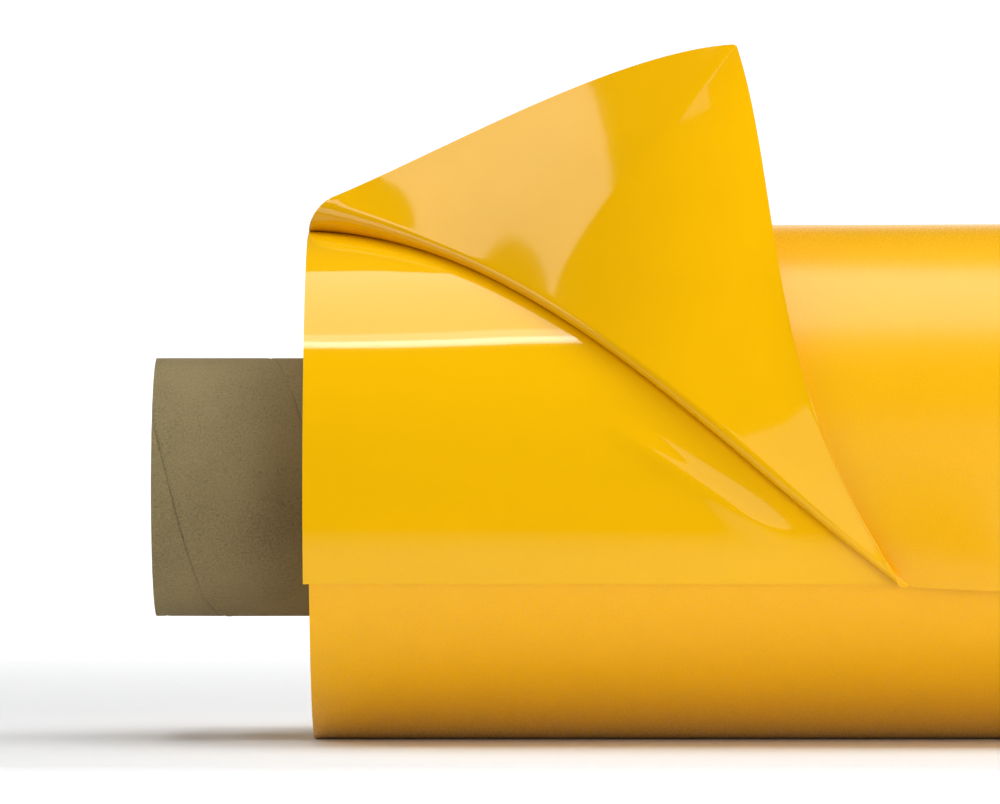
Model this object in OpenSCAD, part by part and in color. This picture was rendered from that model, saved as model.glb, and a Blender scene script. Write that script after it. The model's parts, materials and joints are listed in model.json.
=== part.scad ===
// Roll of self-adhesive sign vinyl on a cardboard core, with the corner of its
// loose end peeled back. Millimetres. +X runs along the roll, -Y is its front,
// +Z is up. The origin is the middle of the core's bore.

/* [Core] */
// Inside diameter of the core (a 3 inch core)
core_bore_d = 76.2; // [70:0.1:80]
// Wall of the core
core_wall = 5.9; // [4:0.1:8]
// How far the core stands out past the vinyl at each end
core_stand_out = 54; // [5:1:80]
// Thickness of the smooth paper ply that lines the bore
inner_ply_t = 0.5; // [0.3:0.1:0.8]
// Thickness of the kraft paper ply on the outside
outer_ply_t = 0.4; // [0.3:0.1:0.8]

/* [Web] */
// Width of the vinyl
web_w = 610; // [400:5:760]
// Diameter of the roll, over its last tight turn
roll_d = 171.2; // [150:0.2:200]
// Thickness of the vinyl film with its adhesive
film_t = 0.2; // [0.15:0.01:0.3]
// Thickness of the release liner
liner_t = 0.14; // [0.12:0.01:0.3]

/* [Loose tail] */
// How far the loose tail stands off the roll
tail_gap = 1.5; // [0.6:0.1:2]
// Where the tail is cut off, in degrees up from the front of the roll
tail_end_angle = -21; // [-40:1:-10]
// Where the tail leaves the roll, in degrees up from the front
tail_root_angle = 120; // [112:1:140]
// How far the tail has crept to the left of the roll
tail_skew = 2; // [0:0.5:4]

/* [Peeled corner] */
// Length peeled along the side edge of the film
peel_side = 167; // [160:1:170]
// Length peeled along the cut end of the film
peel_cut = 201; // [195:1:205]
// Radius of the fold along most of its length
fold_r = 3.0; // [2.6:0.1:3.4]
// Radius of the fold at the side edge of the film
fold_r_side = 8.7; // [7:0.1:9.5]
// Radius of the fold at the cut end of the film
fold_r_cut = 1.6; // [1.5:0.1:2]
// Angle that the film turns through at the side edge
fold_turn_side = 140; // [136:1:145]
// Angle that the film turns through at the cut end
fold_turn_cut = 188; // [182:1:190]

/* [Start tape] */
// Length of the double-sided tape around the core
start_tape_l = 25; // [12:1:40]
// Thickness of the tape
start_tape_t = 0.25; // [0.2:0.05:0.4]

/* [Hidden] */
BOARD_PLIES = 6;

CARDBOARD = [0.55, 0.48, 0.36];
GREYBOARD = [0.62, 0.58, 0.50];
VINYL = [0.98, 0.72, 0.06];
VINYL_EDGE = [0.93, 0.64, 0.05];
LINER = [1.00, 0.78, 0.10];
TAPE = [0.90, 0.90, 0.85];

// Facets in a full circle
ROUND = 180;
// How far a cutting shape reaches past the solid it cuts
OVERLAP = 1;

// Core
core_r_in = core_bore_d / 2;
core_r_out = core_r_in + core_wall;
core_l = web_w + 2 * core_stand_out;
board_ply_t = (core_wall - inner_ply_t - outer_ply_t) / BOARD_PLIES;

// Web: each radius is the inside of its layer
roll_r = roll_d / 2;
last_film_r = roll_r - film_t;
last_liner_r = last_film_r - liner_t;
tail_liner_r = roll_r + tail_gap;
tail_film_r = tail_liner_r + liner_t;

// Tail
tail_left = -web_w / 2 - tail_skew;

// Fold line: straight on the film when it is laid flat, a helix on the roll
fold_l = norm([peel_side, peel_cut]);
flap_r = tail_film_r + film_t / 2;
fold_top_angle = tail_end_angle + peel_side / flap_r * 180 / PI;
slope_side = peel_cut / peel_side;
slope_cut = peel_side / peel_cut;
// Foot of the corner on the fold line, as a share of its length
foot = pow(peel_side, 2) / pow(fold_l, 2);

// The peeled corner stands free of the tail by starting this far round the fold
FREE_ANGLE = 60;
// Columns along the fold, and rows round it and up the sheet
COLUMNS = 26;
CURL_ROWS = 4;
SHEET_ROWS = 7;
// Share of a short column that the curl takes
CURL_SHARE = 0.6;
// The ends of the fold come to points, so the sheet stops just short of them
FOLD_ENDS = [0.03, 0.975];
// Length of the handles of a column's curve, as a share of its chord
HANDLE = 0.36;

// Corner of the film, and the handles of its two edges as they rise to it
flap_tip = [-163, -52, 148.5];
side_handles = [[-262, -17, 113.5], [-202, -45, 147]];
cut_handles = [[-156, -107, 34.5], [-147.5, -44, 102.5]];

// Gap between the tail's film and the start of the peeled corner
CUT_CLEAR = 4;

// Shares of the fold over which it tightens from the side edge and towards the cut end
SIDE_SHARE = 0.3;
CUT_SHARE = 0.25;
// Where along the fold its turn starts to grow, and over what share it does
TURN_START = 0.3;
TURN_SHARE = 0.45;
// The places where a column is all curl are searched for this close to the fold's ends
NEAR_END = 0.001;

// --- Places on the roll and on the fold; p runs from 0 at the side edge to 1 at the cut end

function unit(v) = v / norm(v);
function fold_angle(p) = fold_top_angle + (tail_end_angle - fold_top_angle) * p;
function outward(p) = [0, -cos(fold_angle(p)), sin(fold_angle(p))];
function round_up(p) = [0, sin(fold_angle(p)), cos(fold_angle(p))];
function across_fold(p) = ([peel_side, 0, 0] + peel_cut * round_up(p)) / fold_l;
function fold_point(p) = [tail_left + peel_cut * p, 0, 0] + flap_r * outward(p);

function fold_radius(p) = fold_r
    + (fold_r_side - fold_r) * pow(max(0, 1 - p / SIDE_SHARE), 2)
    + (fold_r_cut - fold_r) * pow(max(0, 1 - (1 - p) / CUT_SHARE), 2);
function eased(t) = let (c = min(1, max(0, t))) c * c * (3 - 2 * c);
function fold_turn(p) = fold_turn_side
    + (fold_turn_cut - fold_turn_side) * eased((p - TURN_START) / TURN_SHARE);
function curl_length(p) = fold_radius(p) * fold_turn(p) * PI / 180;
// Length of film from the fold to the edge, square to the fold
function column_length(p) = min(p * slope_side, (1 - p) * slope_cut) * fold_l;

// Point and direction on the curl, an arc that starts flat on the roll
function curl_point(p, turn) = fold_point(p)
    - fold_radius(p) * sin(turn) * across_fold(p)
    + fold_radius(p) * (1 - cos(turn)) * outward(p);
function curl_direction(p, turn) = -cos(turn) * across_fold(p) + sin(turn) * outward(p);
function turn_after(p, length) = length / fold_radius(p) * 180 / PI;

// Place along the fold where a column is all curl, found by halving
function spare(p) = column_length(p) - curl_length(p);
function all_curl(low, high, steps = 24) = steps == 0 ? (low + high) / 2 :
    let (middle = (low + high) / 2)
    (spare(middle) > 0) == (spare(low) > 0)
        ? all_curl(middle, high, steps - 1)
        : all_curl(low, middle, steps - 1);
side_curl_end = all_curl(NEAR_END, foot);
cut_curl_end = all_curl(foot, 1 - NEAR_END);

function cubic(c, t) = pow(1 - t, 3) * c[0] + 3 * pow(1 - t, 2) * t * c[1]
    + 3 * (1 - t) * pow(t, 2) * c[2] + pow(t, 3) * c[3];
function edge_curve(p_start, handles) = [
    curl_point(p_start, fold_turn(p_start)), handles[0], handles[1], flap_tip
];
side_edge = edge_curve(side_curl_end, side_handles);
cut_edge = edge_curve(cut_curl_end, cut_handles);

function edge_point(p) =
    spare(p) <= 0 ? curl_point(p, turn_after(p, column_length(p)))
    : p < foot ? cubic(side_edge, (p - side_curl_end) / (foot - side_curl_end))
    : cubic(cut_edge, (cut_curl_end - p) / (cut_curl_end - foot));

// One column of points: round the curl, then up the sheet to the edge
function column(p) = let (
    turn = turn_after(p, min(curl_length(p), CURL_SHARE * column_length(p))),
    top = curl_point(p, turn),
    leave = curl_direction(p, turn),
    edge = edge_point(p),
    reach = norm(edge - top),
    chord = (edge - top) / reach,
    arrive = 2 * (chord * leave) * chord - leave,
    handle = HANDLE * reach,
    sheet = [top, top + handle * leave, edge - handle * arrive, edge],
    first = min(FREE_ANGLE, turn * 0.5)
) concat(
    [for (i = [0 : CURL_ROWS - 1]) curl_point(p, first + (turn - first) * i / CURL_ROWS)],
    [for (i = [0 : SHEET_ROWS]) cubic(sheet, i / SHEET_ROWS)]
);

// A sheet of even thickness over a grid of points, grid[column][row]
module sheet(grid, t) {
    columns = len(grid);
    rows = len(grid[0]);
    last_c = columns - 1;
    last_r = rows - 1;
    layer = columns * rows;
    function normal_at(c, r) = unit(cross(
        grid[min(c + 1, last_c)][r] - grid[max(c - 1, 0)][r],
        grid[c][min(r + 1, last_r)] - grid[c][max(r - 1, 0)]));
    function side_points(s) = [
        for (c = [0 : last_c], r = [0 : last_r]) grid[c][r] + s * t / 2 * normal_at(c, r)
    ];
    function at(c, r, s) = c * rows + r + s * layer;
    rim = concat(
        [for (c = [0 : last_c - 1]) [c, 0]],
        [for (r = [0 : last_r - 1]) [last_c, r]],
        [for (c = [last_c : -1 : 1]) [c, last_r]],
        [for (r = [last_r : -1 : 1]) [0, r]]
    );
    faces = concat(
        [for (c = [0 : last_c - 1], r = [0 : last_r - 1])
            [at(c, r, 1), at(c, r + 1, 1), at(c + 1, r + 1, 1)]],
        [for (c = [0 : last_c - 1], r = [0 : last_r - 1])
            [at(c, r, 1), at(c + 1, r + 1, 1), at(c + 1, r, 1)]],
        [for (c = [0 : last_c - 1], r = [0 : last_r - 1])
            [at(c, r, 0), at(c + 1, r + 1, 0), at(c, r + 1, 0)]],
        [for (c = [0 : last_c - 1], r = [0 : last_r - 1])
            [at(c, r, 0), at(c + 1, r, 0), at(c + 1, r + 1, 0)]],
        [for (i = [0 : len(rim) - 1]) let (a = rim[i], b = rim[(i + 1) % len(rim)])
            [at(a[0], a[1], 0), at(a[0], a[1], 1), at(b[0], b[1], 1)]],
        [for (i = [0 : len(rim) - 1]) let (a = rim[i], b = rim[(i + 1) % len(rim)])
            [at(a[0], a[1], 0), at(b[0], b[1], 1), at(b[0], b[1], 0)]]
    );
    polyhedron(points = concat(side_points(-1), side_points(1)), faces = faces);
}

// --- Plain solids

// A tube along X
module tube(r_in, t, l, left) {
    translate([left, 0, 0]) rotate([0, 90, 0]) difference() {
        cylinder(r = r_in + t, h = l, $fn = ROUND);
        translate([0, 0, -OVERLAP]) cylinder(r = r_in, h = l + 2 * OVERLAP, $fn = ROUND);
    }
}

// Part of a tube along X, between two angles up from the front
module arc_shell(r_in, t, l, left, from, to) {
    translate([left, 0, 0]) rotate([90, 0, 90]) rotate([0, 0, 180 - to])
        rotate_extrude(angle = to - from, $fn = ROUND) translate([r_in, 0]) square([t, l]);
}

// --- The pieces

module core_inner_ply() color(CARDBOARD) tube(core_r_in, inner_ply_t, core_l, -core_l / 2);

// number: 1 next to the inner ply, BOARD_PLIES next to the outer ply
module core_board_ply(number) color(GREYBOARD)
    tube(core_r_in + inner_ply_t + (number - 1) * board_ply_t, board_ply_t, core_l, -core_l / 2);

module core_outer_ply() color(CARDBOARD)
    tube(core_r_out - outer_ply_t, outer_ply_t, core_l, -core_l / 2);

// The strip lies between the core and the first turn, along the whole width
tape_angle = start_tape_l / core_r_out * 180 / PI;
module start_tape() color(TAPE)
    arc_shell(core_r_out, start_tape_t, web_w, -web_w / 2, 0, tape_angle);

// Every turn but the last, as one solid, with the place where the tape lifts it
module wound_web() color(VINYL_EDGE) difference() {
    tube(core_r_out, last_liner_r - core_r_out, web_w, -web_w / 2);
    arc_shell(core_r_out - OVERLAP, start_tape_t + OVERLAP, web_w + 2 * OVERLAP,
        -web_w / 2 - OVERLAP, 0, tape_angle);
}

module last_turn_liner() color(LINER) tube(last_liner_r, liner_t, web_w, -web_w / 2);

module last_turn_film() color(VINYL) tube(last_film_r, film_t, web_w, -web_w / 2);

module tail_liner() color(LINER)
    arc_shell(tail_liner_r, liner_t, web_w, tail_left, tail_end_angle, tail_root_angle);

// The film stops at the fold line, where its corner leaves the liner
module tail_film() color(VINYL) difference() {
    arc_shell(tail_film_r, film_t, web_w, tail_left, tail_end_angle, tail_root_angle);
    translate(fold_point(0.5)) rotate([90 - fold_angle(0.5), 0, 0])
        rotate([0, 0, -atan2(peel_side, peel_cut)])
            translate([-fold_l, CUT_CLEAR - fold_l, -fold_l])
                cube([2 * fold_l, fold_l, 2 * fold_l]);
}

module peeled_corner() color(VINYL) sheet([
    for (i = [0 : COLUMNS]) column(FOLD_ENDS[0] + (FOLD_ENDS[1] - FOLD_ENDS[0]) * i / COLUMNS)
], film_t);

core_inner_ply();
core_board_ply(1);  // core_board_ply_1
core_board_ply(2);  // core_board_ply_2
core_board_ply(3);  // core_board_ply_3
core_board_ply(4);  // core_board_ply_4
core_board_ply(5);  // core_board_ply_5
core_board_ply(6);  // core_board_ply_6
core_outer_ply();
start_tape();
wound_web();
last_turn_liner();
last_turn_film();
tail_liner();
tail_film();
peeled_corner();
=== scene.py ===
"""Roll of sign vinyl with a peeled corner: the looks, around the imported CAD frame.

Metres, in the CAD frame: +X along the roll, -Y to its front, +Z up, origin in the
middle of the core's bore. Angles on the roll are counted in degrees up from its front.
"""
import json
import math
import random

import bpy
from mathutils import Matrix, Vector, noise


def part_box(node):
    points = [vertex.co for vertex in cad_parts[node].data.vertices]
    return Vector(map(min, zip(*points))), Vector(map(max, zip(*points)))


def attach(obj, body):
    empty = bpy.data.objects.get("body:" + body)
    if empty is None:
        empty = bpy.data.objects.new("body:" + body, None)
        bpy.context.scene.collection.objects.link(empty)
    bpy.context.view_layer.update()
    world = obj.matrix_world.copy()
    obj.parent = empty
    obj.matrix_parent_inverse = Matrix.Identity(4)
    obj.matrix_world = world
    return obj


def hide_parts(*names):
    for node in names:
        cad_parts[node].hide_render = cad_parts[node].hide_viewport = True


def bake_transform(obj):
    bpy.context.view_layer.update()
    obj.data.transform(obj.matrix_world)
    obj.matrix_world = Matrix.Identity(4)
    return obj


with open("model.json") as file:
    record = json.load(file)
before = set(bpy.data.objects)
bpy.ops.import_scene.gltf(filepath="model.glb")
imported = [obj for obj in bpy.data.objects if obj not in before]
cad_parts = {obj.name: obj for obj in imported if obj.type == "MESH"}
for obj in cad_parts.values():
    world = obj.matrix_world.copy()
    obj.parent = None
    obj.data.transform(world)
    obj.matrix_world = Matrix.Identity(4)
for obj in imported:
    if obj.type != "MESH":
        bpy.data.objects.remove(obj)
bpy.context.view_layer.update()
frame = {"nodes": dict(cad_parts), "record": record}

MM = 0.001


# ---------------------------------------------------------------- sizes from the frame

def low(node):
    return Vector(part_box(node)[0])


def high(node):
    return Vector(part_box(node)[1])


def round_radius(node):
    """Outer radius of a piece that is round about the roll's axis, read at its front."""
    return -low(node).y


def joint(name):
    return next(j for j in frame["record"]["behaviour"]["joints"] if j["name"] == name)


def mount(name):
    return next(m for m in frame["record"]["mounts"] if m["name"] == name)


def roll_angle(point):
    """Degrees up from the front of the roll."""
    return math.degrees(math.atan2(point[2], -point[1]))


CORE_LEFT = low("core_outer_ply").x
CORE_RIGHT = high("core_outer_ply").x
CORE_R = round_radius("core_outer_ply")
BORE_R = mount("core_bore")["dims"]["r_mm"] * MM
ROLL_LEFT = low("last_turn_film").x
ROLL_RIGHT = high("last_turn_film").x
ROLL_R = round_radius("last_turn_film")
FILM_T = ROLL_R - round_radius("last_turn_liner")
LINER_T = round_radius("last_turn_liner") - round_radius("wound_web")
WEB_T = FILM_T + LINER_T
TAIL_LEFT = low("tail_liner").x
TAIL_RIGHT = high("tail_liner").x
TAIL_FILM_R = round_radius("tail_film") - FILM_T / 2
TAIL_LINER_R = TAIL_FILM_R - WEB_T / 2
TAIL_END = math.degrees(math.asin(low("tail_liner").z / round_radius("tail_liner")))
TAIL_ROOT = roll_angle(joint("tail_lift")["pos_m"])
FLOOR_Z = -ROLL_R

# The fold's two ends lie on the hinge line, as far to each side of its middle
FOLD_MIDDLE = Vector(joint("corner_peel")["pos_m"])
FOLD_AXIS = Vector(joint("corner_peel")["axis"]).normalized()
FOLD_TOP = FOLD_MIDDLE - FOLD_AXIS * ((FOLD_MIDDLE.x - TAIL_LEFT) / FOLD_AXIS.x)
FOLD_TOP_ANGLE = roll_angle(FOLD_TOP)
PEEL_CUT = 2 * (FOLD_MIDDLE.x - TAIL_LEFT)
PEEL_SIDE = TAIL_FILM_R * math.radians(FOLD_TOP_ANGLE - TAIL_END)
FOLD_L = math.hypot(PEEL_SIDE, PEEL_CUT)
# Share of the fold line from its top to the point that lies square to the film's corner
FOLD_FOOT = PEEL_SIDE ** 2 / FOLD_L ** 2


# ---------------------------------------------------------------- small tools

def smooth(t):
    """0 to 1 with no corners, held outside 0..1."""
    t = min(max(t, 0.0), 1.0)
    return t * t * (3 - 2 * t)


def bell(t):
    """1 at 0, and soon nothing to both sides."""
    return math.exp(-t * t)


def mix(a, b, t):
    return a + (b - a) * t


def wobble(x, y, size, seed):
    """Smooth random height from -1 to 1, over a length `size` in metres."""
    return noise.noise(Vector((x / size, y / size, seed)))


def on_roll(x, angle, r):
    a = math.radians(angle)
    return Vector((x, -r * math.cos(a), r * math.sin(a)))


def new_object(name, verts, faces, materials, face_materials=None, sharp_angle=40):
    mesh = bpy.data.meshes.new(name)
    mesh.from_pydata([tuple(v) for v in verts], [], faces)
    for m in materials:
        mesh.materials.append(m)
    if face_materials:
        mesh.polygons.foreach_set("material_index", face_materials)
    mesh.update()
    obj = bpy.data.objects.new(name, mesh)
    bpy.context.scene.collection.objects.link(obj)
    mesh.shade_smooth()
    mesh.set_sharp_from_angle(angle=math.radians(sharp_angle))
    return obj


def sheet_object(name, grid, thickness, outside, inside, rim):
    """A closed sheet over grid[column][row], of even thickness, with a material on each face."""
    columns = len(grid)
    rows = len(grid[0])
    normals = []
    for c in range(columns):
        for r in range(rows):
            along = grid[min(c + 1, columns - 1)][r] - grid[max(c - 1, 0)][r]
            up = grid[c][min(r + 1, rows - 1)] - grid[c][max(r - 1, 0)]
            normals.append(along.cross(up).normalized())
    middle = [grid[c][r] for c in range(columns) for r in range(rows)]
    verts = [p + n * thickness / 2 for p, n in zip(middle, normals)]
    verts += [p - n * thickness / 2 for p, n in zip(middle, normals)]
    layer = columns * rows
    faces = []
    kinds = []
    for c in range(columns - 1):
        for r in range(rows - 1):
            a = c * rows + r
            b = a + rows
            faces.append((a, b, b + 1, a + 1))
            kinds.append(0)
            faces.append((layer + a, layer + a + 1, layer + b + 1, layer + b))
            kinds.append(1)
    ring = [c * rows for c in range(columns - 1)]
    ring += [(columns - 1) * rows + r for r in range(rows - 1)]
    ring += [c * rows + rows - 1 for c in range(columns - 1, 0, -1)]
    ring += list(range(rows - 1, 0, -1))
    for i, a in enumerate(ring):
        b = ring[(i + 1) % len(ring)]
        faces.append((a, layer + a, layer + b, b))
        kinds.append(2)
    return new_object(name, verts, faces, [outside, inside, rim], kinds)


# ---------------------------------------------------------------- materials

# A noise stays within these values nearly everywhere
NOISE_LOW = 0.3
NOISE_HIGH = 0.7


class Nodes:
    """A node tree, with short calls for the nodes used here."""

    def __init__(self, tree, place):
        self.tree = tree
        self.place = self.new("TexCoord").outputs[place]

    def new(self, kind):
        return self.tree.nodes.new("ShaderNode" + kind)

    def link(self, a, b):
        self.tree.links.new(a, b)

    def axes(self):
        """X, Y and Z of the place."""
        node = self.new("SeparateXYZ")
        self.link(self.place, node.inputs[0])
        return tuple(node.outputs)

    def math(self, kind, a, b=0.0):
        node = self.new("Math")
        node.operation = kind
        for socket, value in zip(node.inputs, (a, b)):
            if isinstance(value, float):
                socket.default_value = value
            else:
                self.link(value, socket)
        return node.outputs[0]

    def span(self, value, a, b, to_a=0.0, to_b=1.0, ease="LINEAR"):
        """Carry a value from the range a..b to the range to_a..to_b."""
        node = self.new("MapRange")
        node.interpolation_type = ease
        for socket, number in zip(("From Min", "From Max", "To Min", "To Max"), (a, b, to_a, to_b)):
            node.inputs[socket].default_value = number
        self.link(value, node.inputs["Value"])
        return node.outputs[0]


class Material(Nodes):
    """A new material with one Principled shader."""

    def __init__(self, name, base, roughness):
        self.material = bpy.data.materials.new(name)
        self.material.use_nodes = True
        super().__init__(self.material.node_tree, "Object")
        self.shader = self.tree.nodes["Principled BSDF"]
        self.set("Base Color", (*base, 1))
        self.set("Roughness", roughness)

    def set(self, socket, value):
        self.shader.inputs[socket].default_value = value

    def stretched(self, scale):
        """The place on the object, stretched by a scale along each axis."""
        node = self.new("Mapping")
        node.inputs["Scale"].default_value = scale
        self.link(self.place, node.inputs["Vector"])
        return node.outputs["Vector"]

    def noise(self, scale, detail=3.0, place=None, roughness=0.5):
        node = self.new("TexNoise")
        node.inputs["Scale"].default_value = scale
        node.inputs["Detail"].default_value = detail
        node.inputs["Roughness"].default_value = roughness
        self.link(place or self.place, node.inputs["Vector"])
        return node.outputs["Fac"]

    def colour_by(self, value, *stops):
        """Colour the surface by a value, through (position, colour) stops."""
        node = self.new("ValToRGB")
        ramp = node.color_ramp
        while len(ramp.elements) < len(stops):
            ramp.elements.new(0.5)
        for element, (position, colour) in zip(ramp.elements, stops):
            element.position = position
            element.color = (*colour, 1)
        self.link(value, node.inputs["Fac"])
        self.link(node.outputs["Color"], self.shader.inputs["Base Color"])

    def mottle(self, value, dark, light):
        """Let the colour vary between two shades, by a noise."""
        self.colour_by(value, (NOISE_LOW, dark), (NOISE_HIGH, light))

    def roughen(self, value, least, most):
        """Let the roughness vary between two values, by a noise."""
        rough = self.span(value, NOISE_LOW, NOISE_HIGH, least, most)
        self.link(rough, self.shader.inputs["Roughness"])

    def bump(self, height, distance, strength, under=None):
        node = self.new("Bump")
        node.inputs["Strength"].default_value = strength
        node.inputs["Distance"].default_value = distance
        self.link(height, node.inputs["Height"])
        if under is not None:
            self.link(under, node.inputs["Normal"])
        self.link(node.outputs["Normal"], self.shader.inputs["Normal"])
        return node.outputs["Normal"]


def shade(colour, factor):
    return tuple(c * factor for c in colour)


def satin_vinyl():
    """The film's face: even colour, a fine grain that spreads the highlights."""
    base = (0.870, 0.440, 0.001)
    n = Material("vinyl_satin_face", base, 0.27)
    n.mottle(n.noise(60.0, 4.0), shade(base, 0.97), base)
    grain = n.noise(2600.0, 2.0)
    n.roughen(grain, 0.24, 0.30)
    n.bump(grain, 0.006 * MM, 0.4)
    n.set("Specular IOR Level", 0.44)
    return n.material


def glossy_underside():
    """The film's adhesive side: wet-looking, with a slow orange peel."""
    base = (0.860, 0.450, 0.000)
    n = Material("vinyl_adhesive_side", base, 0.07)
    n.mottle(n.noise(35.0), shade(base, 0.96), base)
    n.roughen(n.noise(900.0, 2.0), 0.05, 0.10)
    n.bump(n.noise(160.0, 2.0), 0.03 * MM, 0.5)
    n.set("IOR", 1.42)
    return n.material


def glossy_liner():
    """A clear glossy liner over yellow film, with faint streaks along the roll."""
    base = (0.870, 0.465, 0.000)
    n = Material("release_liner", base, 0.06)
    streaks = n.noise(40.0, 3.0, n.stretched((0.25, 1.0, 1.0)))
    n.mottle(streaks, shade(base, 0.96), base)
    n.roughen(n.noise(700.0, 2.0), 0.04, 0.08)
    n.bump(streaks, 0.03 * MM, 0.4)
    n.set("IOR", 1.45)
    return n.material


def cut_edge():
    """The slit edge of a single film, coloured paler than the film's face as a painted highlight along the
    edge.
    """
    base = (0.930, 0.620, 0.110)
    n = Material("vinyl_cut_edge", base, 0.5)
    n.bump(n.noise(1800.0, 2.0), 0.02 * MM, 0.5)
    n.mottle(n.noise(300.0), shade(base, 0.94), base)
    return n.material


def wound_edges():
    """The ends of the roll: hundreds of slit edges, film and liner by turns."""
    n = Material("web_slit_edges", (0.85, 0.42, 0.02), 0.55)
    _, y, z = n.axes()
    radius = n.math("SQRT", n.math("ADD", n.math("POWER", y, 2.0), n.math("POWER", z, 2.0)))
    ring = n.math("PINGPONG", n.math("FRACT", n.math("DIVIDE", radius, WEB_T)), 0.5)
    # Bands of turns that catch the light alike: narrow, and nearly even all the way round
    narrow = 900.0
    slow = 7.0
    place = n.new("CombineXYZ")
    for socket, value, scale in (("X", radius, narrow), ("Y", y, slow), ("Z", z, slow)):
        n.link(n.math("MULTIPLY", value, scale), place.inputs[socket])
    bands = n.noise(1.0, 4.0, place.outputs[0], 0.65)
    value = n.math("ADD", n.math("MULTIPLY", ring, 0.30), n.math("MULTIPLY", bands, 0.85))
    dark = (0.60, 0.24, 0.006)
    middle = (0.82, 0.40, 0.012)
    light = (0.90, 0.56, 0.13)
    n.colour_by(value, (0.36, dark), (0.50, middle), (0.66, light))
    under = n.bump(bands, 0.4 * MM, 0.5)
    n.bump(ring, 0.08 * MM, 0.5, under)
    return n.material


# The outer ply's helical seam: how far it climbs along the core in one turn, where it
# crosses the front of the core, and the width and depth of its groove
SEAM_PITCH = 69.8 * MM
SEAM_FRONT = CORE_LEFT + 6.3 * MM
SEAM_W = 0.55 * MM
SEAM_DEPTH = 0.36 * MM
# Half the width of the painted shade in the groove
SEAM_SHADE_HALF = 0.5 * MM
# The seam of the ply below shows through, this far back along the core
GHOST_BACK = 19.8 * MM
GHOST_DEPTH = 0.22 * MM


def painted_seam_shade(n, start, darkness):
    """Value of the painted shade along a helical seam's groove; it comes and goes along the line."""
    x, y, z = n.axes()
    turn = n.math("DIVIDE", n.math("ARCTAN2", z, n.math("MULTIPLY", y, -1.0)), 2 * math.pi)
    climb = n.math("DIVIDE", n.math("SUBTRACT", x, start), SEAM_PITCH)
    off = n.math("MULTIPLY", n.math("PINGPONG", n.math("ADD", climb, turn), 0.5), SEAM_PITCH)
    line = n.span(off, 0.0, SEAM_SHADE_HALF, darkness, 0.0)
    return n.math("MULTIPLY", line, n.span(n.noise(50.0), 0.35, 0.6))


def paper(name, base, fibres, seams=()):
    """Kraft paper: a fine speckle, short fibres and slow clouds, and seams whose grooves are darkened with
    painted shade.

    A seam is (where it crosses the front of the core, how dark its painted shade is).
    """
    n = Material(name, base, 0.85)
    cloud = n.noise(30.0, 2.0)
    speckle = n.noise(1500.0, 3.0, None, 0.6)
    fibre = n.noise(1.0, 4.0, n.stretched(fibres), 0.6)
    value = n.math("ADD", n.math("MULTIPLY", cloud, 0.30), n.math("MULTIPLY", speckle, 0.50))
    value = n.math("ADD", value, n.math("MULTIPLY", fibre, 0.20))
    # Painted shade: each seam's groove is darkened in the colour, the seam of the ply below more faintly
    for start, darkness in seams:
        value = n.math("SUBTRACT", value, painted_seam_shade(n, start, darkness))
    n.colour_by(value, (0.20, shade(base, 0.35)), (0.38, shade(base, 0.74)), (0.50, base),
                (0.66, shade(base, 1.22)))
    n.roughen(fibre, 0.75, 0.92)
    under = n.bump(cloud, 0.6 * MM, 0.30)
    n.bump(speckle, 0.08 * MM, 0.6, under)
    n.set("Specular IOR Level", 0.25)
    return n.material


def tape_material():
    n = Material("double_sided_tape", (0.80, 0.78, 0.70), 0.4)
    n.bump(n.noise(1500.0), 0.02 * MM, 0.5)
    n.mottle(n.noise(220.0), (0.72, 0.70, 0.62), (0.84, 0.82, 0.75))
    return n.material


SATIN = satin_vinyl()
UNDERSIDE = glossy_underside()
LINER = glossy_liner()
CUT_EDGE = cut_edge()
WOUND = wound_edges()
KRAFT_COLOUR = (0.245, 0.196, 0.094)
KRAFT_FIBRES = (900.0, 1500.0, 1500.0)
# The outer ply's seam and the seam of the ply below get painted shade in their grooves
KRAFT = paper("core_kraft_paper", KRAFT_COLOUR, KRAFT_FIBRES,
              ((SEAM_FRONT, 0.20), (SEAM_FRONT - GHOST_BACK, 0.13)))
BORE = paper("core_bore_kraft", KRAFT_COLOUR, KRAFT_FIBRES)
BOARD = paper("core_grey_board", (0.300, 0.255, 0.170), (300.0, 1500.0, 1500.0))


# ---------------------------------------------------------------- the core

# The lip of paper beside a seam: its height as a share of the groove's depth, how far off
# the groove it is, and its width
LIP_SHARE = 0.35
LIP_OFF = 2.2 * SEAM_W
LIP_W = 1.6 * SEAM_W
GHOST_W = 1.2 * SEAM_W
# Slow unevenness of the paper
SWELL = 0.06 * MM
SWELL_SIZE = 22 * MM
# The bore's seam
BORE_SEAM_FRONT = SEAM_FRONT + 31 * MM
BORE_SEAM_PITCH = 0.86 * SEAM_PITCH
# Rows along a ply whose seam shows, and how far they go on under the web
SEAM_ROW = 0.35 * MM
UNDER_WEB = 4 * MM
ROWS_UNDER_WEB = 12
ROWS_IN_BORE = 700
# The ends of a ply: how uneven they are on the paper and on the board, the length of a wave
# as a part of a full circle, how far in the row next to the end is, and the share of the
# ply's thickness that it loses there on each face
FACE_END_ROUGH = 0.12 * MM
BOARD_END_ROUGH = 0.35 * MM
END_WAVE = 0.02
END_ROW = 0.4 * MM
END_ROUND = 0.10


def seam_distance(x, angle, start, pitch):
    """Distance along the core from the nearest turn of a helical seam."""
    turns = (x - start + pitch * angle / 360.0) / pitch
    return (turns - round(turns)) * pitch


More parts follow.
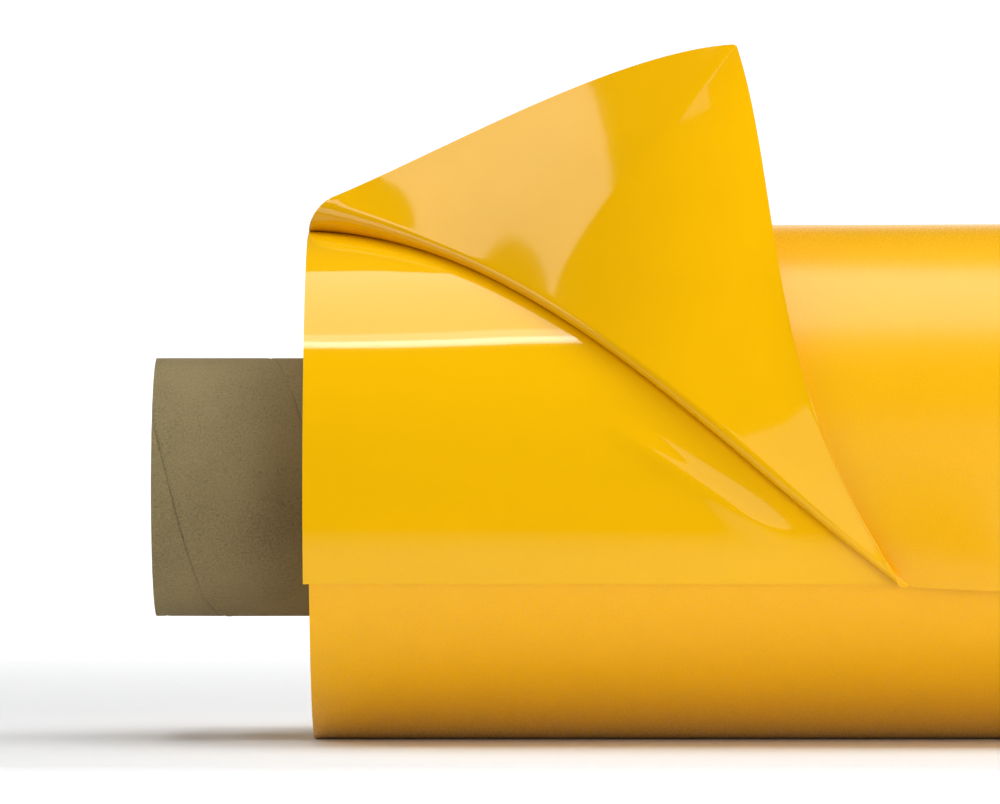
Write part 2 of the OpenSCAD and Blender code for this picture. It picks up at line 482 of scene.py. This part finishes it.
def ply_radius(r, x, angle, start, pitch, side):
    """Radius of a ply's face, pinched at its seam; side is 1 on an outside, -1 in a bore."""
    d = seam_distance(x, angle, start, pitch)
    groove = SEAM_DEPTH * bell(d / SEAM_W)
    lip = LIP_SHARE * SEAM_DEPTH * bell((d - LIP_OFF) / LIP_W)
    ghost = GHOST_DEPTH * bell(seam_distance(x, angle, start - GHOST_BACK, pitch) / GHOST_W)
    swell = SWELL * wobble(x, math.radians(angle) * CORE_R, SWELL_SIZE, 3.0)
    return r - side * (groove - lip + ghost - swell)


def outside_shape(x, angle):
    return ply_radius(CORE_R, x, angle, SEAM_FRONT, SEAM_PITCH, 1)


def bore_shape(x, angle):
    return ply_radius(BORE_R, x, angle, BORE_SEAM_FRONT, BORE_SEAM_PITCH, -1)


def outside_rows():
    """Places along the outer ply: close where it shows, wide apart under the web."""
    count = int((ROLL_LEFT - CORE_LEFT + UNDER_WEB) / SEAM_ROW) + 1
    left = [CORE_LEFT + SEAM_ROW * i for i in range(count)]
    right = [-x for x in reversed(left)]
    under = [mix(left[-1], right[0], i / ROWS_UNDER_WEB) for i in range(1, ROWS_UNDER_WEB)]
    return left + under + right


def bore_rows():
    """Places along the bore, which is seen over its whole length."""
    first = CORE_LEFT + SEAM_ROW
    last = CORE_RIGHT - SEAM_ROW
    return [CORE_LEFT, *(mix(first, last, i / ROWS_IN_BORE) for i in range(ROWS_IN_BORE + 1)), CORE_RIGHT]


def plain_rows():
    return [CORE_LEFT, CORE_LEFT + END_ROW, CORE_RIGHT - END_ROW, CORE_RIGHT]


def tube_piece(name, r_in, r_out, material, rows, columns, end_rough, seed, inside=None, outside=None):
    """A tube along the core whose ends are slightly uneven and whose faces may follow a shape."""
    count = len(rows)
    verts = []
    for side, r_plain, shape in ((0, r_in, inside), (1, r_out, outside)):
        for i, x in enumerate(rows):
            for k in range(columns):
                angle = 360.0 * k / columns
                r = shape(x, angle) if shape else r_plain
                push = 0.0
                if i in (0, count - 1):
                    push = end_rough * (0.5 + 0.5 * wobble(angle / 360.0, seed + side, END_WAVE, seed))
                    r += END_ROUND * (r_out - r_in) * (-1 if side else 1)
                verts.append(on_roll(x + push if i == 0 else x - push, angle, r))

    def at(side, i, k):
        return side * count * columns + i * columns + k % columns

    faces = []
    last = count - 1
    for k in range(columns):
        for i in range(last):
            faces.append((at(1, i, k), at(1, i, k + 1), at(1, i + 1, k + 1), at(1, i + 1, k)))
            faces.append((at(0, i, k), at(0, i + 1, k), at(0, i + 1, k + 1), at(0, i, k + 1)))
        faces.append((at(0, 0, k), at(0, 0, k + 1), at(1, 0, k + 1), at(1, 0, k)))
        faces.append((at(0, last, k), at(1, last, k), at(1, last, k + 1), at(0, last, k + 1)))
    return new_object(name, verts, faces, [material])


def make_core():
    """The paper plies: the two faces with their helical seams, and the board between them."""
    outside = tube_piece("core_outer_paper", round_radius("core_board_ply_6"), CORE_R, KRAFT,
                         outside_rows(), columns=220, end_rough=FACE_END_ROUGH, seed=11.0,
                         outside=outside_shape)
    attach(outside, "roll")
    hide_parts("core_outer_ply")
    inside = tube_piece("core_bore_paper", BORE_R, round_radius("core_inner_ply"), BORE,
                        bore_rows(), columns=180, end_rough=FACE_END_ROUGH, seed=17.0,
                        inside=bore_shape)
    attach(inside, "roll")
    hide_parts("core_inner_ply")
    below = round_radius("core_inner_ply")
    for number in range(1, 7):
        node = f"core_board_ply_{number}"
        above = round_radius(node)
        ply = tube_piece(f"core_board_{number}", below, above, BOARD,
                         plain_rows(), columns=120, end_rough=BOARD_END_ROUGH, seed=20.0 + number)
        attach(ply, "roll")
        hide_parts(node)
        below = above


def dress_tape():
    """The start tape keeps its CAD shape and gets a material."""
    frame["nodes"]["start_tape"].material_slots[0].material = tape_material()


# ---------------------------------------------------------------- the wound web

# Rings over the ends of the roll, and points in each ring
WEB_RINGS = 190
WEB_COLUMNS = 256
# How far the slit edges stand in from the last turn's edge, on average
EDGE_IN = 0.25 * MM
# Turns drift sideways together as they are wound: the step from ring to ring, and how much
# of the drift so far each ring keeps. Each ring also jitters, and waves on its way round.
DRIFT = 0.072 * MM
DRIFT_KEPT = 0.93
JITTER = 0.03 * MM
EDGE_WAVE = 0.05 * MM
EDGE_WAVE_SIZE = 12 * MM
EDGE_WAVE_ROUND = 100 * MM


def make_web():
    """The body of the roll: slit edges that stand a little in and out, ring by ring."""
    rng = random.Random(4)
    drift = [0.0]
    for _ in range(WEB_RINGS):
        drift.append(drift[-1] * DRIFT_KEPT + rng.uniform(-1, 1) * DRIFT)
    jitter = [rng.uniform(-1, 1) * JITTER for _ in range(WEB_RINGS + 1)]
    r_out = round_radius("wound_web")
    verts = []
    for end in (0, 1):
        for i in range(WEB_RINGS + 1):
            r = mix(CORE_R, r_out, i / WEB_RINGS)
            for k in range(WEB_COLUMNS):
                round_part = k / WEB_COLUMNS
                wave = EDGE_WAVE * wobble(r, round_part * EDGE_WAVE_ROUND, EDGE_WAVE_SIZE, 7.0 + end)
                inward = EDGE_IN + abs(drift[i]) + jitter[i] + wave
                x = (ROLL_LEFT + inward) if end == 0 else (ROLL_RIGHT - inward)
                verts.append(on_roll(x, 360.0 * round_part, r))

    def at(end, i, k):
        return end * (WEB_RINGS + 1) * WEB_COLUMNS + i * WEB_COLUMNS + k % WEB_COLUMNS

    faces = []
    last = WEB_RINGS
    for k in range(WEB_COLUMNS):
        for i in range(last):
            faces.append((at(0, i, k), at(0, i, k + 1), at(0, i + 1, k + 1), at(0, i + 1, k)))
            faces.append((at(1, i, k), at(1, i + 1, k), at(1, i + 1, k + 1), at(1, i, k + 1)))
        faces.append((at(0, last, k), at(0, last, k + 1), at(1, last, k + 1), at(1, last, k)))
        faces.append((at(0, 0, k), at(1, 0, k), at(1, 0, k + 1), at(0, 0, k + 1)))
    body = new_object("web_body", verts, faces, [WOUND], sharp_angle=50)
    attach(body, "roll")
    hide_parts("wound_web")


# ---------------------------------------------------------------- the outermost turn

# Angle at which the loose tail joins the turn behind it, where that turn lies tight, and
# where it ends under the tail's join
TAIL_JOIN = TAIL_ROOT + 15.0
TIGHT = TAIL_JOIN + 70.0
TURN_END = TAIL_ROOT + 356.0
# The tail's left edge has crept to the left: where it starts to come back, and how slowly
CREEP_ANGLE = 60.0
CREEP_SPAN = 150.0
# Towards its end the turn sinks by a share of the web's thickness, to lie under the tail
SINK_ANGLE = 330.0
SINK_SPAN = 120.0
SINK_SHARE = 0.6
TURN_COLUMNS = 60
TURN_STEP = 2.0
# Right of the fold the loose turn stands a little higher over the top: how high, from
# where to the right and how soon, and at which angle and how far round
RISE = 2.3 * MM
RISE_LEFT = ROLL_LEFT + 70 * MM
RISE_RUN = 80 * MM
RISE_ANGLE = 85.0
RISE_SPREAD = 38.0


def loose_radius(angle, tight_r, loose_r):
    """Radius of the last turn, from the loose tail round the back to where it lies tight."""
    return mix(loose_r, tight_r, smooth((angle - TAIL_JOIN) / (TIGHT - TAIL_JOIN)))


def web_left(angle):
    """Left edge of the web at an angle."""
    return mix(TAIL_LEFT, ROLL_LEFT, smooth((angle - CREEP_ANGLE) / CREEP_SPAN))


def top_rise(x, angle):
    return RISE * smooth((x - RISE_LEFT) / RISE_RUN) * bell((angle - RISE_ANGLE) / RISE_SPREAD)


def turn_grid(tight_r, loose_r):
    """The last full turn: from the tail's join, round the back and on under the tail."""
    count = int((TURN_END - TAIL_JOIN) / TURN_STEP)
    grid = []
    for c in range(TURN_COLUMNS + 1):
        column = []
        for i in range(count + 1):
            angle = mix(TAIL_JOIN, TURN_END, i / count)
            sink = SINK_SHARE * WEB_T * smooth((angle - SINK_ANGLE) / SINK_SPAN)
            x = web_left(angle) + (ROLL_RIGHT - ROLL_LEFT) * c / TURN_COLUMNS
            r = loose_radius(angle, tight_r, loose_r) + top_rise(x, angle) - sink
            column.append(on_roll(x, angle, r))
        grid.append(column)
    return grid


def make_last_turn():
    film = sheet_object("last_turn_face", turn_grid(ROLL_R - FILM_T / 2, TAIL_FILM_R), FILM_T,
                        SATIN, UNDERSIDE, CUT_EDGE)
    liner_r = ROLL_R - FILM_T - LINER_T / 2
    liner = sheet_object("last_turn_backing", turn_grid(liner_r, TAIL_LINER_R), LINER_T,
                         LINER, LINER, CUT_EDGE)
    for piece, node, slot in ((film, "last_turn_film", "vinyl"), (liner, "last_turn_liner", "liner")):
        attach(piece, "roll")
        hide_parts(node)


# ---------------------------------------------------------------- the loose tail

# Right of the fold the cut end of the film has come off the liner and stands out: how far,
# where most, how far to each side, and over which angle up the roll
LIFT = 5.5 * MM
LIFT_X = FOLD_MIDDLE.x + PEEL_CUT / 2 + 32 * MM
LIFT_REACH_LEFT = 33.6 * MM
LIFT_REACH_RIGHT = 120 * MM
LIFT_SPAN = 34.0
# Slow waves in the loose sheets: their height, and their size along the roll and round it
WAVE = 0.9 * MM
WAVE_ALONG = 150 * MM
WAVE_ROUND = 48 * MM
# The waves fade over this angle before the tail's join, and this far from the fold
WAVE_FADE_ANGLE = 30.0
WAVE_FADE = 30 * MM
# A long low buckle in the bare liner, beside the fold: its height and half width, where it
# is along the fold and off it, its half length, and how it slants away from the fold
BUCKLE = 1.1 * MM
BUCKLE_W = 4.0 * MM
BUCKLE_ALONG = 182 * MM
BUCKLE_OFF = -19 * MM
BUCKLE_HALF = 30 * MM
BUCKLE_SLANT = 0.11
TAIL_STEP = 0.75


def fold_x(angle):
    """Where the fold line crosses the roll at an angle."""
    return TAIL_LEFT + PEEL_CUT * (FOLD_TOP_ANGLE - angle) / (FOLD_TOP_ANGLE - TAIL_END)


def film_lift(x, angle):
    reach = LIFT_REACH_LEFT if x < LIFT_X else LIFT_REACH_RIGHT
    return LIFT * bell((x - LIFT_X) / reach) * smooth(1 - (angle - TAIL_END) / LIFT_SPAN)


def on_film(x, angle):
    """Place in the unrolled film: along the fold line from its top, and square to it."""
    right = x - TAIL_LEFT
    up = math.radians(angle - FOLD_TOP_ANGLE) * TAIL_FILM_R
    along = (right * PEEL_CUT - up * PEEL_SIDE) / FOLD_L
    across = (right * PEEL_SIDE + up * PEEL_CUT) / FOLD_L
    return along, across


def tail_wave(x, angle):
    """Slow waves in a sheet that lies loose on the roll; the fold line stays straight."""
    wave = noise.noise(Vector((x / WAVE_ALONG, math.radians(angle) * ROLL_R / WAVE_ROUND, 2.0)))
    near_join = smooth((TAIL_JOIN - angle) / WAVE_FADE_ANGLE)
    near_fold = smooth(abs(on_film(x, angle)[1]) / WAVE_FADE)
    return WAVE * wave * near_join * near_fold


def buckle(x, angle):
    along, across = on_film(x, angle)
    past = along - BUCKLE_ALONG
    side = across - BUCKLE_OFF - BUCKLE_SLANT * past
    return BUCKLE * bell(side / BUCKLE_W) * math.exp(-(past / BUCKLE_HALF) ** 4)


def film_radius(x, angle):
    return TAIL_FILM_R + film_lift(x, angle) + tail_wave(x, angle) + top_rise(x, angle)


def liner_radius(x, angle):
    return TAIL_LINER_R + tail_wave(x, angle) + top_rise(x, angle) + buckle(x, angle)


def spaced(count, power):
    """0 to 1 in steps that are closer together near 0."""
    return [(i / count) ** power for i in range(count + 1)]


def make_tail():
    """The loose tail: its liner to the cut end, and the film that is still on it."""
    count = int((TAIL_JOIN - TAIL_END) / TAIL_STEP)
    angles = [mix(TAIL_END, TAIL_JOIN, i / count) for i in range(count + 1)]
    liner_grid = []
    for s in spaced(300, power=1.3):
        x = mix(TAIL_LEFT, TAIL_RIGHT, s)
        liner_grid.append([on_roll(x, a, liner_radius(x, a)) for a in angles])
    film_grid = []
    for s in spaced(190, power=1.5):
        column = []
        for a in angles:
            start = fold_x(a) if a < FOLD_TOP_ANGLE else TAIL_LEFT
            x = mix(start, TAIL_RIGHT, s)
            column.append(on_roll(x, a, film_radius(x, a)))
        film_grid.append(column)
    liner = sheet_object("tail_backing", liner_grid, LINER_T, LINER, LINER, CUT_EDGE)
    film = sheet_object("tail_face", film_grid, FILM_T, SATIN, UNDERSIDE, CUT_EDGE)
    for piece, node, slot in ((liner, "tail_liner", "liner"), (film, "tail_film", "vinyl")):
        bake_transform(piece)
        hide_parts(node)


# ---------------------------------------------------------------- the peeled corner

# Radius of the fold in its middle, at the side edge and at the cut end, and the shares of
# the fold over which it changes
FOLD_R = 3.0 * MM
FOLD_R_SIDE = 8.7 * MM
FOLD_R_CUT = 1.6 * MM
SIDE_SHARE = 0.3
CUT_SHARE = 0.25
# Angle that the film turns through at the side edge and at the cut end, and the shares of
# the fold at which it starts to grow and over which it grows
TURN_SIDE = 140.0
TURN_CUT = 188.0
GROW_START = 0.3
GROW_SHARE = 0.45
# The corner of the film, and the handles of its two edges as they rise to it
TIP = Vector((-163, -52, 148.5)) * MM
SIDE_HANDLES = (Vector((-262, -17, 113.5)) * MM, Vector((-202, -45, 147)) * MM)
CUT_HANDLES = (Vector((-156, -107, 34.5)) * MM, Vector((-147.5, -44, 102.5)) * MM)
# Most of a column that may be curl, and how far its handles reach, as shares of its length
CURL_SHARE = 0.6
HANDLE = 0.36
# The sheet stops this short of the fold's two ends, where it has no width
END_GAP = 0.004
CORNER_COLUMNS = 200
CURL_ROWS = 22
SHEET_ROWS = 64
HALVINGS = 40


def fold_angle(p):
    """Angle on the roll at a share p of the fold line, from its top to the cut end."""
    return mix(FOLD_TOP_ANGLE, TAIL_END, p)


def fold_frame(p):
    """Point on the fold line, the direction square to it along the film, and outward."""
    a = math.radians(fold_angle(p))
    outward = Vector((0, -math.cos(a), math.sin(a)))
    round_up = Vector((0, math.sin(a), math.cos(a)))
    across = (Vector((PEEL_SIDE, 0, 0)) + PEEL_CUT * round_up) / FOLD_L
    x = TAIL_LEFT + PEEL_CUT * p
    point = Vector((x, 0, 0)) + film_radius(x, fold_angle(p)) * outward
    return point, across, outward


def fold_radius(p):
    side = (FOLD_R_SIDE - FOLD_R) * max(0, 1 - p / SIDE_SHARE) ** 2
    cut = (FOLD_R_CUT - FOLD_R) * max(0, 1 - (1 - p) / CUT_SHARE) ** 2
    return FOLD_R + side + cut


def fold_turn(p):
    return math.radians(mix(TURN_SIDE, TURN_CUT, smooth((p - GROW_START) / GROW_SHARE)))


def column_length(p):
    """Length of the film from the fold line to its edge, square to the fold."""
    return min(p * PEEL_CUT / PEEL_SIDE, (1 - p) * PEEL_SIDE / PEEL_CUT) * FOLD_L


def curl_length(p):
    return fold_radius(p) * fold_turn(p)


def curl_point(p, turn):
    point, across, outward = fold_frame(p)
    r = fold_radius(p)
    return point - across * (r * math.sin(turn)) + outward * (r * (1 - math.cos(turn)))


def curl_direction(p, turn):
    _, across, outward = fold_frame(p)
    return outward * math.sin(turn) - across * math.cos(turn)


def all_curl(low_p, high_p):
    """Place along the fold where a column is all curl, found by halving."""
    def spare(p):
        return column_length(p) - curl_length(p)
    rising = spare(low_p) > 0
    for _ in range(HALVINGS):
        middle = (low_p + high_p) / 2
        if (spare(middle) > 0) == rising:
            low_p = middle
        else:
            high_p = middle
    return (low_p + high_p) / 2


def cubic(c, t):
    s = 1 - t
    return c[0] * s ** 3 + c[1] * (3 * s * s * t) + c[2] * (3 * s * t * t) + c[3] * t ** 3


# Close to the fold's ends a column is all curl; its two edges start from there
NEAR_END = 0.0005
SIDE_CURL = all_curl(NEAR_END, FOLD_FOOT)
CUT_CURL = all_curl(FOLD_FOOT, 1 - NEAR_END)
SIDE_EDGE = (curl_point(SIDE_CURL, fold_turn(SIDE_CURL)), *SIDE_HANDLES, TIP)
CUT_END_EDGE = (curl_point(CUT_CURL, fold_turn(CUT_CURL)), *CUT_HANDLES, TIP)


def edge_point(p):
    """End of the column at p: on the curl, on the side edge or on the cut end's edge."""
    if column_length(p) <= curl_length(p):
        return curl_point(p, column_length(p) / fold_radius(p))
    if p < FOLD_FOOT:
        return cubic(SIDE_EDGE, (p - SIDE_CURL) / (FOLD_FOOT - SIDE_CURL))
    return cubic(CUT_END_EDGE, (CUT_CURL - p) / (CUT_CURL - FOLD_FOOT))


def corner_column(p):
    """Points from the fold line round the curl and up the sheet to the film's edge."""
    turn = min(curl_length(p), CURL_SHARE * column_length(p)) / fold_radius(p)
    top = curl_point(p, turn)
    leave = curl_direction(p, turn)
    edge = edge_point(p)
    reach = (edge - top).length
    chord = (edge - top) / reach
    arrive = 2 * chord.dot(leave) * chord - leave
    sheet = (top, top + leave * HANDLE * reach, edge - arrive * HANDLE * reach, edge)
    column = [curl_point(p, turn * i / CURL_ROWS) for i in range(CURL_ROWS)]
    return column + [cubic(sheet, i / SHEET_ROWS) for i in range(SHEET_ROWS + 1)]


def make_corner():
    """The corner of the film, folded back: its adhesive side shows."""
    grid = [corner_column(mix(END_GAP, 1 - END_GAP, i / CORNER_COLUMNS)) for i in range(CORNER_COLUMNS + 1)]
    # Its outside turns under at the fold, so the adhesive side is the one that shows
    corner = sheet_object("peeled_film", grid, FILM_T, UNDERSIDE, SATIN, CUT_EDGE)
    point, across, _ = fold_frame(0.5)
    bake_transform(corner)
    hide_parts("peeled_corner")


# ---------------------------------------------------------------- camera, floor and light

# Distance in front of the roll's axis, height above it, place from the roll's left end,
# and focal length in millimetres on a sensor 36 mm wide
CAMERA_AWAY = 2.514
CAMERA_UP = 29 * MM
CAMERA_RIGHT = 63.1 * MM
CAMERA_LENS = 265.3
# Half size of the floor, how far it reaches to the front, and the widths of its soft borders
FLOOR_HALF = (1.2, 1.0)
FLOOR_FRONT = -0.29
FADE_SIDE = 0.3
FADE_BACK = 0.8
FADE_FRONT = 0.1


def make_camera():
    """Level with the top half of the roll and square to it."""
    data = bpy.data.cameras.new("camera")
    data.sensor_width = 36.0
    data.lens = CAMERA_LENS
    camera = bpy.data.objects.new("camera", data)
    camera.location = (ROLL_LEFT + CAMERA_RIGHT, -CAMERA_AWAY, CAMERA_UP)
    camera.rotation_euler = (math.radians(90), 0, 0)
    bpy.context.scene.collection.objects.link(camera)
    bpy.context.scene.camera = camera


def softbox(name, place, at, size, strength, roll=0.0, in_gloss=True):
    """A soft light; strength is the brightness that a perfect mirror would show."""
    data = bpy.data.lights.new(name, "AREA")
    data.shape = "RECTANGLE"
    data.size, data.size_y = size
    data.energy = strength * size[0] * size[1] * math.pi
    light = bpy.data.objects.new(name, data)
    light.location = place
    light.visible_camera = False
    light.visible_glossy = in_gloss
    bpy.context.scene.collection.objects.link(light)
    aim = (Vector(at) - light.location).to_track_quat("-Z", "Y").to_matrix()
    light.rotation_euler = (aim @ Matrix.Rotation(math.radians(roll), 3, "Z")).to_euler()


def floor_material():
    """Pale paper whose border fades away, so that it has no far edge."""
    n = Material("pale_floor", (0.83, 0.84, 0.85), 0.9)
    n.mottle(n.noise(3.0), (0.82, 0.83, 0.84), (0.835, 0.845, 0.855))
    n.set("Specular IOR Level", 0.0)
    x, y, _ = n.axes()
    half_x, half_y = FLOOR_HALF
    side = n.span(n.math("ABSOLUTE", x), half_x - FADE_SIDE, half_x, 1.0, 0.0)
    back = n.span(y, half_y - FADE_BACK, half_y, 1.0, 0.0)
    front = n.span(y, FLOOR_FRONT, FLOOR_FRONT + FADE_FRONT)
    n.link(n.math("MULTIPLY", n.math("MULTIPLY", side, back), front), n.shader.inputs["Alpha"])
    return n.material


def make_floor():
    x, y = FLOOR_HALF
    corners = [(-x, FLOOR_FRONT), (x, FLOOR_FRONT), (x, y), (-x, y)]
    floor = new_object("floor", [(x, y, FLOOR_Z) for x, y in corners], [(0, 1, 2, 3)], [floor_material()])


def make_world():
    """A studio that is white to the camera.

    Its light on the roll comes from low down behind, from the right and, faintly, from all round.
    """
    world = bpy.data.worlds.new("studio")
    world.use_nodes = True
    bpy.context.scene.world = world
    n = Nodes(world.node_tree, "Generated")
    background = n.tree.nodes["Background"]
    background.inputs["Color"].default_value = (1, 1, 1, 1)
    x, y, z = n.axes()
    low_down = n.span(z, 0.25, 0.45, 1.0, 0.0, "SMOOTHSTEP")
    behind = n.span(y, -0.2, 0.2, 0.0, 1.1, "SMOOTHSTEP")
    aside = n.span(x, 0.72, 0.85, 0.0, 0.6, "SMOOTHSTEP")
    all_round = 0.06
    lit = n.math("ADD", n.math("MAXIMUM", n.math("MULTIPLY", low_down, behind), aside), all_round)
    seen = n.new("LightPath").outputs["Is Camera Ray"]
    n.link(n.math("MAXIMUM", lit, seen), background.inputs["Strength"])


def make_lights():
    # Above: a broad light, and over the roll's left end a bright strip with a glow beside it
    softbox("overhead", (0.15, -0.06, 1.2), (0.15, -0.06, 0), (1.6, 0.92), 3.1)
    softbox("overhead_tube", (-0.40, -0.50, 1.19), (-0.40, -0.07, 0.04), (0.38, 0.08), 9.0)
    softbox("overhead_glow", (-0.40, -0.43, 1.19), (-0.40, -0.07, 0.04), (0.42, 0.13), 3.0)
    # The light patch on the peeled corner
    softbox("upper_left", (-1.129, -0.465, 1.064), (-0.2, -0.05, 0.12), (0.30, 1.043), 3.2, roll=70)
    # Round the roll, aimed at the peeled corner
    middle = (-0.2, -0.05, 0.08)
    softbox("left", (-2.0, -0.95, 0.25), middle, (0.9, 0.8), 2.2)
    softbox("right", (1.7, -0.95, 0.25), middle, (0.9, 0.8), 4.5)
    softbox("rear_left", (-1.7, 0.9, 0.9), middle, (1.0, 1.0), 1.4)
    softbox("rear_right", (1.5, 0.9, 0.9), middle, (1.0, 1.0), 2.5)
    # In front: a fill that shows in no reflection, and a soft light on the film's face
    softbox("fill", (0.85, -2.0, -0.10), (-0.15, 0, -0.02), (1.6, 1.2), 4.2, in_gloss=False)
    softbox("front_right", (0.26, -1.5, 0.21), (0.26, 0, 0.21), (0.58, 1.32), 1.2)


make_camera()
make_core()
dress_tape()
make_web()
make_last_turn()
make_tail()
make_corner()
make_floor()
make_world()
make_lights()
bpy.context.scene.view_settings.view_transform = "Standard"
